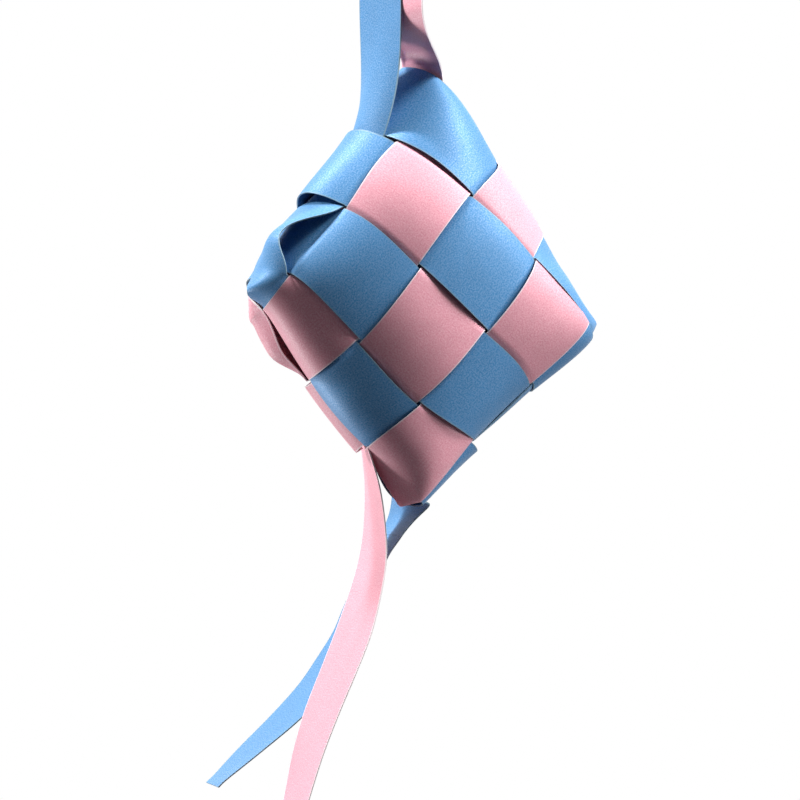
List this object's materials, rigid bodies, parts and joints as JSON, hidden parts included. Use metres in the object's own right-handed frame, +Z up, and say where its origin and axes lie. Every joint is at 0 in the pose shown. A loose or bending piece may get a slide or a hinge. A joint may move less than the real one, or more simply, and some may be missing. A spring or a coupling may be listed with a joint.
{
  "type": "woven ketupat ornament",
  "caption": "Hanging diamond pouch plaited over and under from a blue and a pink paper ribbon, with free ribbon tails below.",
  "frame": {"origin": "middle of the hanging eyelet at the top of the two ribbon ends", "axes": "+Z up along the hanging pouch, -Y out of the front weave, +X to the right of the front"},
  "size_m": [0.0928, 0.0469, 0.209],
  "materials": {
    "blue_paper": "pearl",
    "pink_paper": "pearl",
    "eyelet_brass": "polished"
  },
  "bodies": {
    "pouch": {"eyelet": "eyelet_brass", "blue_hanger": "blue_paper", "blue_upper_left_side": "blue_paper", "blue_upper_right_side": "blue_paper", "blue_lower_right_side": "blue_paper", "blue_front_top": "blue_paper", "blue_front_middle": "blue_paper", "blue_front_bottom": "blue_paper", "blue_back_top": "blue_paper", "blue_back_middle": "blue_paper", "blue_back_bottom": "blue_paper", "pink_hanger": "pink_paper", "pink_front_left": "pink_paper", "pink_front_middle": "pink_paper", "pink_front_right": "pink_paper", "pink_back_corner": "pink_paper", "pink_back_left": "pink_paper", "pink_back_middle": "pink_paper", "pink_lower_left_side": "pink_paper", "pink_inner_run": "pink_paper"},
    "blue_tail": {"blue_tail": "blue_paper"},
    "pink_tail": {"pink_tail": "pink_paper"}
  },
  "joints": [
    {"name": "blue_tail_bend", "type": "hinge", "parent": "pouch", "child": "blue_tail", "pos_m": [-0.00004, 0.00504, -0.13197], "axis": [0.2588, -0.9659, 0], "range_deg": [-3, 12], "stiffness_Nm_per_rad": 0.004},
    {"name": "pink_tail_bend", "type": "hinge", "parent": "pouch", "child": "pink_tail", "pos_m": [-0.00374, 0.00204, -0.12997], "axis": [0.2588, -0.9659, 0], "range_deg": [-12, 3], "stiffness_Nm_per_rad": 0.004}
  ]
}
